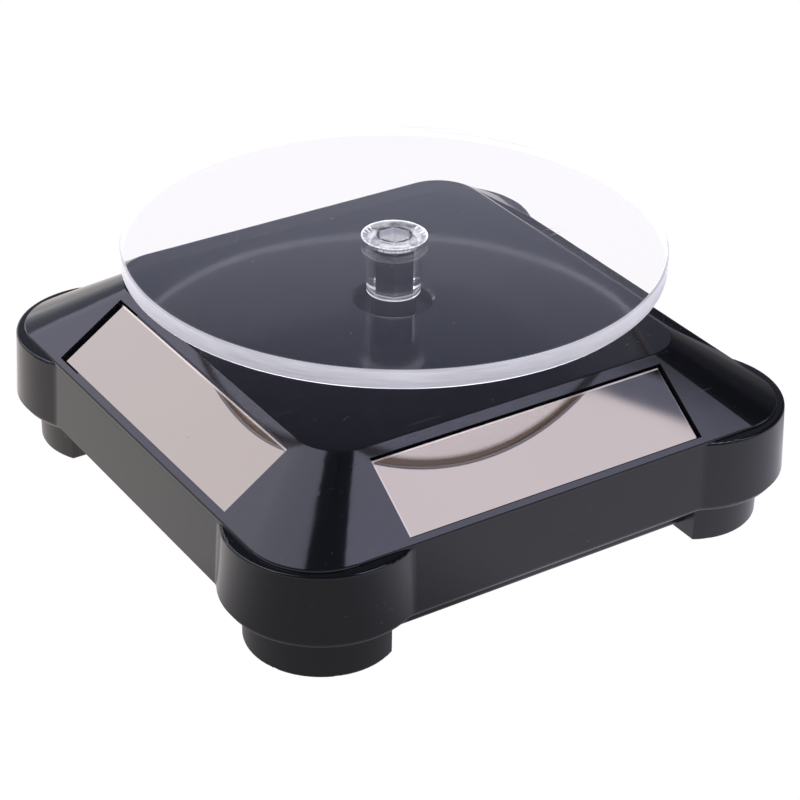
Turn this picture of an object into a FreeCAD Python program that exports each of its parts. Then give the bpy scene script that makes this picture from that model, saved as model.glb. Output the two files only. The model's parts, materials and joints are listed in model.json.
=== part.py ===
import FreeCAD, Part
import math
import operator
import os
import Sketcher
from FreeCAD import Placement, Rotation, Vector
from types import SimpleNamespace

# Small powered turntable display stand: a square moulded base with rounded corner lobes, four
# solar panels on its sloping sides, and a clear round disc on a driven clear hub.
# The frame is +Z up with its origin on the floor under the middle of the disc.
# The front is the -Y side, the left is the -X side.  All sizes are in millimetres.

doc = FreeCAD.newDocument("turntable_display_stand")

# ---------------------------------------------------------------- driving sizes
SIZES = {
    # base, in plan
    "flat_half": (50.2, "centre to the flat of a side wall"),
    "lobe_radius": (15.8, "radius of a corner lobe at its top"),
    "lobe_proud": (2.0, "how far a lobe stands out past the flat walls"),
    "lobe_blend": (3.0, "radius of the hollow between a flat wall and a lobe"),
    "wall_flare": (0.65, "how far the walls lean out from top to bottom"),
    "slope_corner": (11.9, "corner radius at the foot of the slopes"),
    "cavity_corner": (14.45, "inside corner radius at the foot of the slopes"),
    "slope_run": (14.4, "horizontal width of a slope"),
    "plateau_corner": (7.6, "corner radius of the flat top"),
    # base, heights
    "parting_height": (9.3, "floor to the joint between housing and bottom cover"),
    "wall_height": (12.05, "height of a flat side wall"),
    "ledge_drop": (0.35, "step from the slope down to the top of a lobe"),
    "slope_rise": (9.75, "height of a slope"),
    "wall": (2.0, "wall thickness of the housing"),
    "lobe_round": (0.5, "rounding of a lobe's top edge"),
    "shoulder_round": (0.4, "rounding where a wall meets a slope"),
    "plateau_round": (0.4, "rounding of the flat top's edge"),
    "hole_radius": (6.6, "opening in the flat top"),
    "hole_bevel": (0.5, "bevel round the opening"),
    # bottom cover
    "flange_thickness": (1.6, "visible flange of the bottom cover"),
    "flange_inset": (0.5, "flange set back from the wall above it"),
    "flange_round": (1.25, "rounding of the flange's lower edge"),
    "rim_height": (2.0, "locating rim inside the housing wall"),
    "rim_thickness": (1.2, "thickness of the locating rim"),
    "rim_clearance": (0.15, "gap between the rim and the housing wall"),
    "tub_inset": (5.9, "tub wall set back from the flat wall"),
    "tub_clearance": (1.8, "floor to the underside of the tub"),
    "cover_wall": (1.8, "wall thickness of the bottom cover"),
    "tub_round": (0.8, "rounding of the tub's lower edge"),
    "foot_radius": (12.55, "radius of a foot"),
    "foot_cut": (6.3, "foot centre to its flat inner sides"),
    "foot_round": (0.4, "rounding of a foot's lower edge"),
    # cover screws
    "screw_radius": (1.15, "shank of a cover screw"),
    "screw_head_radius": (2.4, "head of a cover screw"),
    "screw_head_height": (1.6, "head of a cover screw"),
    "screw_bite": (7.0, "length of screw in its boss"),
    "screw_clearance": (0.05, "gap round a screw in its pilot hole"),
    "through_clearance": (0.3, "gap round a screw or head that passes through"),
    "pilot_room": (1.0, "pilot hole beyond the end of its screw"),
    "boss_radius": (3.5, "screw boss"),
    "well_depth": (6.5, "screw well in a foot"),
    "well_wall": (1.3, "wall round a screw well"),
    # solar panels
    "panel_length": (56.0, "along the side"),
    "panel_width": (13.6, "up the slope"),
    "panel_thickness": (1.8, "glass and backing"),
    "panel_edge": (1.54, "foot of the slope to the panel's lower edge"),
    "panel_inset": (0.7, "panel face below the slope surface"),
    "panel_margin": (0.35, "gap round a panel in its recess"),
    "recess_rim": (0.8, "material round a recess, inside the shell"),
    "recess_floor": (1.2, "material under a recess"),
    "wire_hole_radius": (1.5, "hole in a recess floor for the panel's wires"),
    # disc and hub
    "disc_radius": (45.8, "clear disc"),
    "disc_thickness": (3.35, "clear disc"),
    "disc_gap": (10.55, "flat top of the base to the underside of the disc"),
    "disc_bevel": (0.3, "bevel on the disc's edges"),
    "hub_radius": (4.6, "tube of the hub"),
    "hub_flange_radius": (5.6, "flange let into the disc"),
    "hub_flange_height": (0.3, "straight part of the flange"),
    "hub_flare_height": (1.5, "cone between the flange and the tube"),
    "hub_gap": (1.6, "flat top of the base to the foot of the hub"),
    "socket_flats": (5.0, "hexagonal bore of the hub, across flats"),
    # drive
    "spindle_radius": (2.0, "round shaft of the spindle"),
    "spigot_flats": (4.8, "hexagonal top of the spindle, across flats"),
    "spigot_height": (5.6, "how far the spindle reaches up into the hub"),
    "collar_radius": (4.0, "collar that the hub stands on"),
    "collar_height": (3.8, "collar that the hub stands on"),
    "running_clearance": (0.05, "radial gap of every turning fit"),
    "gear_module": (0.5, "pitch diameter over number of teeth"),
    "pinion_teeth": (12, "every pinion"),
    "wheel_teeth": (48, "every wheel"),
    "gear_face": (2.0, "width of a gear"),
    "level_gap": (1.0, "between two levels of gears"),
    "mesh_clearance": (0.1, "added to the distance between gear axes"),
    "end_float": (0.4, "between a gear and a gearbox plate"),
    "spacer_wall": (0.8, "wall of the spacer under the second gear"),
    "spacer_gap": (0.1, "between that spacer and the gearbox plate"),
    "shaft_end": (0.3, "end of a shaft beyond what holds it"),
    "plate_thickness": (1.2, "both gearbox plates"),
    "plate_border": (4.0, "gearbox plate beyond the gears"),
    "motor_border": (1.0, "gearbox plate beyond the motor"),
    "lid_drop": (1.0, "gearbox lid below the inside of the flat top"),
    "lid_border": (0.6, "gearbox lid beyond its posts"),
    "post_radius": (1.9, "post between the gearbox plates"),
    "post_gap": (0.4, "between a post and the second gear's wheel"),
    "pillar_radius": (2.8, "pillar that carries the gearbox"),
    "pillar_gap": (0.3, "between a pillar and the gearbox lid"),
    "gear_pin_radius": (1.0, "fixed pin of the second gear"),
    "bush_wall": (0.9, "wall of the spindle's bush"),
    "bush_flange": (1.0, "flange of the bush beyond its wall"),
    "bush_flange_height": (0.7, "flange of the bush"),
    "small_screw_radius": (0.8, "shank of a gearbox screw"),
    "small_head_radius": (1.5, "head of a gearbox screw"),
    "small_head_height": (0.8, "head of a gearbox screw"),
    "small_screw_bite": (5.0, "length of a gearbox screw in its pillar or post"),
    "post_bite": (4.5, "length of a lid screw in its post"),
    # motor
    "motor_radius": (10.0, "can of the motor"),
    "motor_wall": (0.8, "can of the motor"),
    "motor_gap": (1.4, "under the motor"),
    "motor_shaft_radius": (0.75, "shaft of the motor"),
    "magnet_thickness": (1.6, "arc magnets in the can"),
    "air_gap": (0.5, "between rotor and magnets"),
    "end_cap_thickness": (1.2, "cap that closes the can"),
    "brush_room": (2.5, "between the end cap and the rotor's poles"),
    "rotor_room": (1.5, "between the rotor's poles and the closed end of the can"),
    "commutator_gap": (0.4, "between the commutator and the end cap"),
    "motor_screw_room": (2.6, "pinion's tip circle to the centre of a motor screw"),
    "commutator_radius": (1.8, "on the rotor's shaft"),
    "rotor_slot": (1.4, "between two poles of the rotor"),
    "rotor_core": (2.3, "middle of the rotor, inside its slots"),
    # battery bay
    "cell_radius": (7.25, "battery cell"),
    "cell_length": (50.5, "battery cell with its button"),
    "button_radius": (2.7, "positive button of the cell"),
    "button_height": (1.0, "positive button of the cell"),
    "cell_clearance": (0.75, "round the cell in its bay"),
    "cell_rest": (0.3, "under the cell"),
    "cell_headroom": (0.5, "over the cell"),
    "bay_wall": (1.2, "walls and roof of the bay"),
    "bay_gap": (0.8, "between the bay and the gearbox plate"),
    "spring_room": (4.7, "between the cell and the spring's plate"),
    "contact_thickness": (0.4, "both contact plates"),
    "contact_width": (9.0, "both contact plates"),
    "spring_wire": (0.35, "radius of the spring's wire"),
    "spring_turns": (3, "coils of the spring"),
    "door_thickness": (1.6, "battery door"),
    "door_clearance": (0.3, "gap round the battery door"),
    "stop_size": (1.0, "square stop over each end of the battery door"),
    "stop_gap": (0.1, "between the battery door and its stops"),
    "rib_width": (1.2, "stiffening rib of the battery door"),
    "rib_height": (0.3, "stiffening rib of the battery door"),
    "rib_margin": (6.0, "end of the door to the end of its rib"),
    "notch_radius": (5.0, "finger notch of the battery door"),
    "notch_depth": (0.6, "finger notch of the battery door"),
    "peg_radius": (0.6, "hinge peg of the battery door"),
    "peg_reach": (0.8, "length of a peg in the bay wall"),
    # circuit board
    "board_length": (28.0, "circuit board"),
    "board_width": (12.0, "circuit board"),
    "board_thickness": (1.2, "circuit board"),
    "board_height": (3.4, "circuit board above the cover's floor"),
    "board_offset": (29.0, "circuit board centre behind the middle"),
    "stake_radius": (0.9, "pin that holds the board"),
    "stake_spacing": (20.0, "between the two pins"),
    "stake_root": (0.5, "foot of a pin sunk in the floor"),
    "stake_end": (0.6, "end of a pin above the board"),
    "diode_radius": (1.2, "glass body of the diode"),
    "diode_length": (4.4, "glass body of the diode"),
    "diode_offset": (3.0, "diode behind the middle of the board"),
    "diode_height": (1.3, "board to the middle of the diode"),
    "lead_radius": (0.3, "leads of the diode"),
    "lead_spacing": (7.4, "between the bent ends of the leads"),
}

sheet = doc.addObject("Spreadsheet::Sheet", "sizes")
for row, (name, (number, meaning)) in enumerate(SIZES.items(), 1):
    sheet.set(f"A{row}", name)
    sheet.set(f"B{row}", str(number))
    sheet.setAlias(f"B{row}", name)
    sheet.set(f"C{row}", meaning)
doc.recompute()


# ---------------------------------------------------------------- sizes that keep their formula
class Size:
    """A number together with the sheet expression that gives it."""

    def __init__(self, number, text):
        self.number = number
        self.text = text

    def __float__(self):
        return float(self.number)

    def __neg__(self):
        return combine(0, "-", self)

    def __add__(self, other):
        return combine(self, "+", other)

    def __radd__(self, other):
        return combine(other, "+", self)

    def __sub__(self, other):
        return combine(self, "-", other)

    def __rsub__(self, other):
        return combine(other, "-", self)

    def __mul__(self, other):
        return combine(self, "*", other)

    def __rmul__(self, other):
        return combine(other, "*", self)

    def __truediv__(self, other):
        return combine(self, "/", other)


OPERATIONS = {"+": operator.add, "-": operator.sub, "*": operator.mul, "/": operator.truediv}


def as_size(value):
    return value if isinstance(value, Size) else Size(value, repr(value))


def combine(left, sign, right):
    left, right = as_size(left), as_size(right)
    number = OPERATIONS[sign](left.number, right.number)
    return Size(number, f"({left.text} {sign} {right.text})")


def root(value):
    return Size(math.sqrt(value.number), f"sqrt({value.text})")


def lean(run, rise):
    """Angle off upright, in degrees, of a line with this run and rise."""
    return Size(math.degrees(math.atan2(run.number, rise.number)), f"atan({run.text} / {rise.text})")


def bind(item, prop, value):
    """Tie a property to the sheet."""
    item.setExpression(prop, as_size(value).text)


size = SimpleNamespace(**{name: Size(float(sheet.get(name)), f"sizes.{name}") for name in SIZES})

# ---------------------------------------------------------------- tooth shape
PRESSURE_ANGLE = math.radians(20)
WHEEL_ADDENDUM, WHEEL_DEDENDUM = 0.7, 1.35      # in modules
PINION_ADDENDUM, PINION_DEDENDUM = 1.1, 0.95    # in modules
TOOTH_THINNING = 0.06                           # in modules, for backlash

# ---------------------------------------------------------------- sizes worked out from the driving ones
lobe_centre = size.flat_half + size.lobe_proud - size.lobe_radius
shoulder_z = size.parting_height + size.wall_height
ledge_z = shoulder_z - size.ledge_drop
plateau_z = shoulder_z + size.slope_rise
plateau_half = size.flat_half - size.slope_run
slope_length = root(size.slope_run * size.slope_run + size.slope_rise * size.slope_rise)
slope_angle = math.degrees(math.atan2(float(size.slope_rise), float(size.slope_run)))
ceiling_z = plateau_z - size.wall

cavity_half = size.flat_half - size.wall
skin_drop = size.wall * slope_length / size.slope_run
cavity_shoulder_z = shoulder_z + size.wall * size.slope_rise / size.slope_run - skin_drop
cavity_top_inset = (ceiling_z + skin_drop - shoulder_z) * size.slope_run / size.slope_rise
cavity_top_half = size.flat_half - cavity_top_inset
cavity_top_corner = size.plateau_corner - (plateau_half - cavity_top_half)

flange_z = size.parting_height - size.flange_thickness
flange_back = size.flange_inset - size.wall_flare
tub_half = size.flat_half - size.tub_inset
floor_z = size.tub_clearance + size.cover_wall

disc_z = plateau_z + size.disc_gap
disc_top_z = disc_z + size.disc_thickness
hub_seat_z = plateau_z + size.hub_gap

lid_z = ceiling_z - size.lid_drop - size.plate_thickness
lid_top_z = lid_z + size.plate_thickness
output_level_z = lid_z - size.end_float - size.gear_face
second_level_z = output_level_z - size.level_gap - size.gear_face
first_level_z = second_level_z - size.level_gap - size.gear_face
plate_top_z = first_level_z - size.end_float
plate_z = plate_top_z - size.plate_thickness

pinion_pitch_radius = size.gear_module * size.pinion_teeth / 2
wheel_pitch_radius = size.gear_module * size.wheel_teeth / 2
axis_spacing = pinion_pitch_radius + wheel_pitch_radius + size.mesh_clearance
gearbox_right = axis_spacing + wheel_pitch_radius + size.plate_border
gearbox_left = axis_spacing + size.motor_radius + size.motor_border
wheel_tip_radius = wheel_pitch_radius + WHEEL_ADDENDUM * size.gear_module
pinion_tip_radius = pinion_pitch_radius + PINION_ADDENDUM * size.gear_module
post_y = (wheel_tip_radius + size.post_gap + size.post_radius) / math.sqrt(2)
post_right = axis_spacing + post_y
post_left = gearbox_left - size.plate_border
lid_right = post_right + size.post_radius + size.lid_border
lid_half_width = post_y + size.post_radius + size.lid_border
pillar_y = lid_half_width + size.pillar_gap + size.pillar_radius
plate_half_width = pillar_y + size.pillar_radius

motor_z = floor_z + size.motor_gap
motor_screw_y = pinion_tip_radius + size.motor_screw_room
rotor_z = motor_z + size.end_cap_thickness + size.brush_room
rotor_top_z = plate_z - size.motor_wall - size.rotor_room

bay_half_length = (size.cell_length + size.spring_room) / 2 + size.contact_thickness
bay_half_width = size.cell_radius + size.cell_clearance
bay_y = -(plate_half_width + size.bay_gap + size.bay_wall + bay_half_width)
cell_z = floor_z + size.cell_rest + size.cell_radius
bay_roof_z = cell_z + size.cell_radius + size.cell_headroom
cell_start_x = -bay_half_length + size.contact_thickness + size.spring_room
door_low_y = bay_y - bay_half_width + size.door_clearance
door_top_z = size.tub_clearance + size.door_thickness
peg_y = bay_y + bay_half_width - size.door_clearance - size.door_thickness / 2
peg_z = size.tub_clearance + size.door_thickness / 2
board_z = floor_z + size.board_height

SIDES = {"front": 0, "right": 1, "back": 2, "left": 3}
CORNERS = [(-1, -1), (1, -1), (1, 1), (-1, 1)]
LEFT_RIGHT = {"left": -1, "right": 1}
FRONT_BACK = {"front": -1, "back": 1}


# ---------------------------------------------------------------- modelling helpers
def place(item, at):
    for axis, value in zip("xyz", at):
        bind(item, f"Placement.Base.{axis}", value)


def box(name, extent, corner):
    """A box of the given extent with its lowest corner at corner."""
    item = doc.addObject("Part::Box", name)
    for prop, value in zip(("Length", "Width", "Height"), extent):
        bind(item, prop, value)
    place(item, corner)
    return item


def block(name, low, high):
    """A box between two opposite corners."""
    return box(name, [high[i] - low[i] for i in range(3)], low)


def turned(item, axis):
    """Lie an upright item along X."""
    if axis == "x":
        item.Placement.Rotation = Rotation(Vector(0, 1, 0), 90)


def cylinder(name, radius, height, foot, axis="z"):
    item = doc.addObject("Part::Cylinder", name)
    turned(item, axis)
    bind(item, "Radius", radius)
    bind(item, "Height", height)
    place(item, foot)
    return item


def cone(name, low_radius, high_radius, height, foot):
    item = doc.addObject("Part::Cone", name)
    bind(item, "Radius1", low_radius)
    bind(item, "Radius2", high_radius)
    bind(item, "Height", height)
    place(item, foot)
    return item


def hexagon(name, flats, height, foot):
    """A six-sided bar, sized across its flats."""
    item = doc.addObject("Part::Prism", name)
    item.Polygon = 6
    bind(item, "Circumradius", flats / math.sqrt(3))
    bind(item, "Height", height)
    place(item, foot)
    return item


def fuse(name, items):
    item = doc.addObject("Part::MultiFuse", name)
    item.Shapes = items
    item.Refine = True
    return item


def common(name, first, second):
    item = doc.addObject("Part::Common", name)
    item.Base = first
    item.Tool = second
    return item


def cut(name, base, tools):
    """Take one or more tools away from a base."""
    item = doc.addObject("Part::Cut", name)
    item.Base = base
    item.Tool = tools[0] if len(tools) == 1 else fuse(f"{name}_tools", tools)
    item.Refine = True
    return item


def compound(name, items):
    """Identical pieces kept together as separate solids."""
    item = doc.addObject("Part::Compound", name)
    item.Links = items
    return item


def feature(name, shape):
    item = doc.addObject("Part::Feature", name)
    item.Shape = shape
    return item


def on_slope(side, along, up, out):
    """Placement on a slope: along the side, up from the slope's foot, out from its face."""
    tilt = Rotation(Vector(1, 0, 0), slope_angle)
    turn = Rotation(Vector(0, 0, 1), 90 * side)
    foot = Vector(0, -float(size.flat_half), float(shoulder_z))
    offset = tilt.multVec(Vector(float(along), float(up), float(out)))
    return Placement(turn.multVec(foot + offset), turn.multiply(tilt))


def slope_box(name, side, extent, along, up, out):
    item = doc.addObject("Part::Box", name)
    for prop, value in zip(("Length", "Width", "Height"), extent):
        bind(item, prop, value)
    item.Placement = on_slope(side, along, up, out)
    return item


def slope_cylinder(name, side, radius, height, along, up, out):
    item = doc.addObject("Part::Cylinder", name)
    bind(item, "Radius", radius)
    bind(item, "Height", height)
    item.Placement = on_slope(side, along, up, out)
    return item


# ---------------------------------------------------------------- sketches and bodies
def new_body(name):
    return doc.addObject("PartDesign::Body", name)


def new_sketch(body, name, height):
    """A sketch on the body's XY plane, raised to a height."""
    sketch = body.newObject("Sketcher::SketchObject", name)
    base_plane = [item for item in body.Origin.OriginFeatures if item.Role == "XY_Plane"][0]
    sketch.AttachmentSupport = [(base_plane, "")]
    sketch.MapMode = "FlatFace"
    bind(sketch, "AttachmentOffset.Base.z", height)
    return sketch


def constrain(sketch, *definition):
    return sketch.addConstraint(Sketcher.Constraint(*definition))


def dimension(sketch, value, *definition):
    index = constrain(sketch, *definition, abs(float(value)))
    sketch.setExpression(f"Constraints[{index}]", value.text)


def square_outline(sketch, half, radius, centre, tangent):
    """Four straight sides joined by four corner arcs about (+-centre, +-centre).

    With tangent corners it is a rounded square; otherwise the arcs bulge out as lobes."""
    span = float(centre)
    reach = float(half)
    if not tangent:
        side_offset = reach - span
        span -= math.sqrt(float(radius) ** 2 - side_offset ** 2)
    ends = [
        (Vector(-span, -reach, 0), Vector(span, -reach, 0)),
        (Vector(reach, -span, 0), Vector(reach, span, 0)),
        (Vector(span, reach, 0), Vector(-span, reach, 0)),
        (Vector(-reach, span, 0), Vector(-reach, -span, 0)),
    ]
    for start, end in ends:
        sketch.addGeometry(Part.LineSegment(start, end))
    corners = [(1, -1), (1, 1), (-1, 1), (-1, -1)]
    for index, (x, y) in enumerate(corners):
        middle = Vector(x * float(centre), y * float(centre), 0)
        start = ends[index][1] - middle
        end = ends[(index + 1) % 4][0] - middle
        first = math.atan2(start.y, start.x)
        last = math.atan2(end.y, end.x)
        if last < first:
            last += 2 * math.pi
        circle = Part.Circle(middle, Vector(0, 0, 1), float(radius))
        sketch.addGeometry(Part.ArcOfCircle(circle, first, last))
    joint = "Tangent" if tangent else "Coincident"
    for index in range(4):
        arc = index + 4
        constrain(sketch, joint, index, 2, arc, 1)
        constrain(sketch, joint, arc, 2, (index + 1) % 4, 1)
        constrain(sketch, "Horizontal" if index % 2 == 0 else "Vertical", index)
    for arc in (5, 6, 7):
        constrain(sketch, "Equal", 4, arc)
    dimension(sketch, radius, "Radius", 4)
    dimension(sketch, half, "DistanceY", 0, 1, -1, 1)
    dimension(sketch, half, "DistanceX", -1, 1, 1, 1)
    dimension(sketch, half, "DistanceY", -1, 1, 2, 1)
    dimension(sketch, half, "DistanceX", 3, 1, -1, 1)
    if tangent:
        return
    for arc, (x, y) in enumerate(corners, 4):
        for sign, kind in ((x, "DistanceX"), (y, "DistanceY")):
            order = (-1, 1, arc, 3) if sign > 0 else (arc, 3, -1, 1)
            dimension(sketch, centre, kind, *order)


def pad(body, name, sketch, length):
    item = body.newObject("PartDesign::Pad", name)
    item.Profile = sketch
    bind(item, "Length", length)
    return item


def round_edges(body, name, base, radius, chosen):
    """Round the edges of a body that a test picks out."""
    doc.recompute()
    names = [f"Edge{i}" for i, edge in enumerate(base.Shape.Edges, 1) if chosen(edge)]
    item = body.newObject("PartDesign::Fillet", name)
    item.Base = (base, names)
    bind(item, "Radius", radius)
    return item


def lies_at(height):
    """Test for edges that lie level at a height."""
    def chosen(edge):
        return all(abs(vertex.Z - float(height)) < 1e-4 for vertex in edge.Vertexes)
    return chosen


def rising(edge):
    """Test for edges that climb from one level to another."""
    heights = [vertex.Z for vertex in edge.Vertexes]
    return max(heights) - min(heights) > 1e-4


def draft(body, name, base, angle):
    """Lean the sides of a body outwards below its top face."""
    doc.recompute()
    faces = list(enumerate(base.Shape.Faces, 1))
    top = max(faces, key=lambda face: face[1].BoundBox.ZMin)[0]
    item = body.newObject("PartDesign::Draft", name)
    item.Base = (base, [f"Face{i}" for i, face in faces if face.BoundBox.ZLength > 1e-3])
    item.NeutralPlane = (base, [f"Face{top}"])
    bind(item, "Angle", angle)
    return item


def lobed_body(name, inset, low, high, blend=None, flare=None, edge_round=None, rounded_z=None):
    """A form with the base's lobed outline, set back by an inset; it can flare out at its foot."""
    body = new_body(name)
    sketch = new_sketch(body, f"{name}_outline", low)
    square_outline(sketch, size.flat_half - inset, size.lobe_radius - inset, lobe_centre, False)
    last = pad(body, f"{name}_pad", sketch, high - low)
    if blend is not None:
        last = round_edges(body, f"{name}_blend", last, blend, rising)
    if flare is not None:
        last = draft(body, f"{name}_draft", last, lean(flare, high - low))
    if edge_round is not None:
        round_edges(body, f"{name}_round", last, edge_round, lies_at(rounded_z))
    return body


def sloped_body(name, bottom, shoulder, top, rounds=()):
    """A rounded-square prism up to its shoulder and a straight-sided loft above it.

    bottom is a height; shoulder and top are (half width, corner radius, height).
    Each of the rounds is (radius, height of its edges)."""
    body = new_body(name)
    half, corner, height = shoulder
    foot = new_sketch(body, f"{name}_foot", bottom)
    square_outline(foot, half, corner, half - corner, True)
    pad(body, f"{name}_pad", foot, height - bottom)
    lower = new_sketch(body, f"{name}_shoulder", height)
    square_outline(lower, half, corner, half - corner, True)
    upper = new_sketch(body, f"{name}_top", top[2])
    square_outline(upper, top[0], top[1], top[0] - top[1], True)
    last = body.newObject("PartDesign::AdditiveLoft", f"{name}_loft")
    last.Profile = lower
    last.Sections = [upper]
    last.Ruled = True
    for index, (radius, level) in enumerate(rounds):
        last = round_edges(body, f"{name}_round_{index}", last, radius, lies_at(level))
    return body


# ---------------------------------------------------------------- gears
def gear_face(teeth, addendum, dedendum, phase):
    """Flat outline of an involute gear about the origin, its first tooth turned by phase."""
    module = float(size.gear_module)
    pitch = module * teeth / 2
    base = pitch * math.cos(PRESSURE_ANGLE)
    tip = pitch + addendum * module
    bottom = pitch - dedendum * module
    half_tooth = (math.pi / 2 - TOOTH_THINNING) * module / (2 * pitch)
    flank_start = max(base, bottom)

    def involute(radius):
        ratio = max(radius / base, 1.0)
        return math.sqrt(ratio ** 2 - 1) - math.acos(1 / ratio)

    def half_angle(radius):
        return half_tooth + involute(pitch) - involute(radius)

    def point(radius, angle):
        return Vector(radius * math.cos(angle), radius * math.sin(angle), 0)

    def line(start, end):
        return Part.LineSegment(point(*start), point(*end)).toShape()

    def arc(*places):
        return Part.Arc(*[point(*item) for item in places]).toShape()

    edges = []
    step = 2 * math.pi / teeth
    middle = (flank_start + tip) / 2
    for index in range(int(teeth)):
        axis = phase + index * step
        low, mid, high = half_angle(flank_start), half_angle(middle), half_angle(tip)
        if bottom < flank_start:
            edges.append(line((bottom, axis - low), (flank_start, axis - low)))
        edges.append(arc((flank_start, axis - low), (middle, axis - mid), (tip, axis - high)))
        edges.append(arc((tip, axis - high), (tip, axis), (tip, axis + high)))
        edges.append(arc((tip, axis + high), (middle, axis + mid), (flank_start, axis + low)))
        if bottom < flank_start:
            edges.append(line((flank_start, axis + low), (bottom, axis + low)))
        edges.append(arc((bottom, axis + low), (bottom, axis + step / 2), (bottom, axis + step - low)))
    return Part.Face(Part.Wire(edges))


def gear_disc(kind, x, z, phase=0.0):
    """One gear of standard face width at (x, 0), from height z up."""
    teeth = float(size.wheel_teeth if kind == "wheel" else size.pinion_teeth)
    addendum, dedendum = (
        (WHEEL_ADDENDUM, WHEEL_DEDENDUM) if kind == "wheel" else (PINION_ADDENDUM, PINION_DEDENDUM)
    )
    solid = gear_face(teeth, addendum, dedendum, phase).extrude(Vector(0, 0, float(size.gear_face)))
    solid.translate(Vector(float(x), 0, float(z)))
    return solid


def rod(radius, x, low, high):
    return Part.makeCylinder(float(radius), float(high - low), Vector(float(x), 0, float(low)))


# A wheel's gap faces its pinion's tooth on the line between their axes.
wheel_phase = math.pi / float(size.wheel_teeth)

nodes = []


def node(item, name):
    item.Label = name
    nodes.append(item)
    return item


# ---------------------------------------------------------------- upper housing
def upper_housing():
    walls = lobed_body("housing_walls", 0, size.parting_height, ledge_z,
                       size.lobe_blend, size.wall_flare, size.lobe_round, ledge_z)
    slopes = sloped_body(
        "housing_slopes", size.parting_height,
        (size.flat_half, size.slope_corner, shoulder_z),
        (plateau_half, size.plateau_corner, plateau_z),
        [(size.shoulder_round, shoulder_z), (size.plateau_round, plateau_z)],
    )
    form = fuse("housing_form", [walls, slopes])
    wall_cavity = lobed_body("housing_wall_cavity", size.wall, size.parting_height, ledge_z - size.wall)
    slope_cavity = sloped_body(
        "housing_slope_cavity", size.parting_height,
        (cavity_half, size.cavity_corner, cavity_shoulder_z),
        (cavity_top_half, cavity_top_corner, ceiling_z),
    )
    shell = cut("housing_shell", form, [wall_cavity, slope_cavity])

    inner = []
    holes = [
        cylinder("spindle_opening", size.hole_radius, 2 * size.wall, (0, 0, ceiling_z - size.wall)),
        cone("opening_bevel", size.hole_radius, size.hole_radius + 2 * size.hole_bevel, 2 * size.hole_bevel,
             (0, 0, plateau_z - size.hole_bevel)),
    ]
    for index, (x, y) in enumerate(CORNERS):
        centre = (x * lobe_centre, y * lobe_centre)
        inner.append(cylinder(f"cover_boss_{index}", size.boss_radius, plateau_z - size.parting_height,
                              (*centre, size.parting_height)))
        holes.append(cylinder(f"cover_pilot_{index}", size.screw_radius + size.screw_clearance,
                              size.screw_bite + size.pilot_room, (*centre, size.parting_height)))
        ear = (post_right if x > 0 else -post_left, y * pillar_y)
        inner.append(cylinder(f"gearbox_pillar_{index}", size.pillar_radius,
                              plateau_z - size.wall / 2 - plate_top_z, (*ear, plate_top_z)))
        holes.append(cylinder(f"gearbox_pilot_{index}", size.small_screw_radius + size.screw_clearance,
                              size.small_screw_bite + size.pilot_room, (*ear, plate_top_z)))
    depth = size.panel_inset + size.panel_thickness
    reach = size.panel_margin + size.recess_rim
    for side, turn in SIDES.items():
        inner.append(slope_box(
            f"recess_backing_{side}", turn,
            (size.panel_length + 2 * reach, size.panel_width + 2 * reach,
             depth + size.recess_floor - size.wall / 2),
            -(size.panel_length / 2 + reach), size.panel_edge - reach, -(depth + size.recess_floor)))
        holes.append(slope_box(
            f"panel_recess_{side}", turn,
            (size.panel_length + 2 * size.panel_margin, size.panel_width + 2 * size.panel_margin,
             2 * depth),
            -(size.panel_length / 2 + size.panel_margin), size.panel_edge - size.panel_margin, -depth))
        holes.append(slope_cylinder(
            f"wire_hole_{side}", turn, size.wire_hole_radius, 2 * size.recess_floor,
            -size.panel_length / 3, size.panel_edge + size.panel_width / 2, -(depth + 1.5 * size.recess_floor)))
    supports = common("housing_supports", fuse("housing_inner", inner), form)
    return cut("upper_housing", fuse("housing_with_supports", [shell, supports]), holes)


# ---------------------------------------------------------------- bottom cover
def foot_block(name, x, y, inset, low, high):
    """A foot's round outline cut flat on its two inner sides, set back by an inset."""
    disc = cylinder(f"{name}_disc", size.foot_radius - inset, high - low,
                    (x * lobe_centre, y * lobe_centre, low))
    edge = lobe_centre - size.foot_cut + inset
    far = lobe_centre + size.foot_radius
    span = far - edge
    corner = (edge if x > 0 else -far, edge if y > 0 else -far, low)
    return common(name, disc, box(f"{name}_limits", (span, span, high - low), corner))


def rounded(name, base, radius, chosen):
    """Part fillet on the edges that a test picks out."""
    doc.recompute()
    item = doc.addObject("Part::Fillet", name)
    item.Base = base
    width = float(radius)
    item.Edges = [(i, width, width) for i, edge in enumerate(base.Shape.Edges, 1) if chosen(edge)]
    return item


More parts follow.
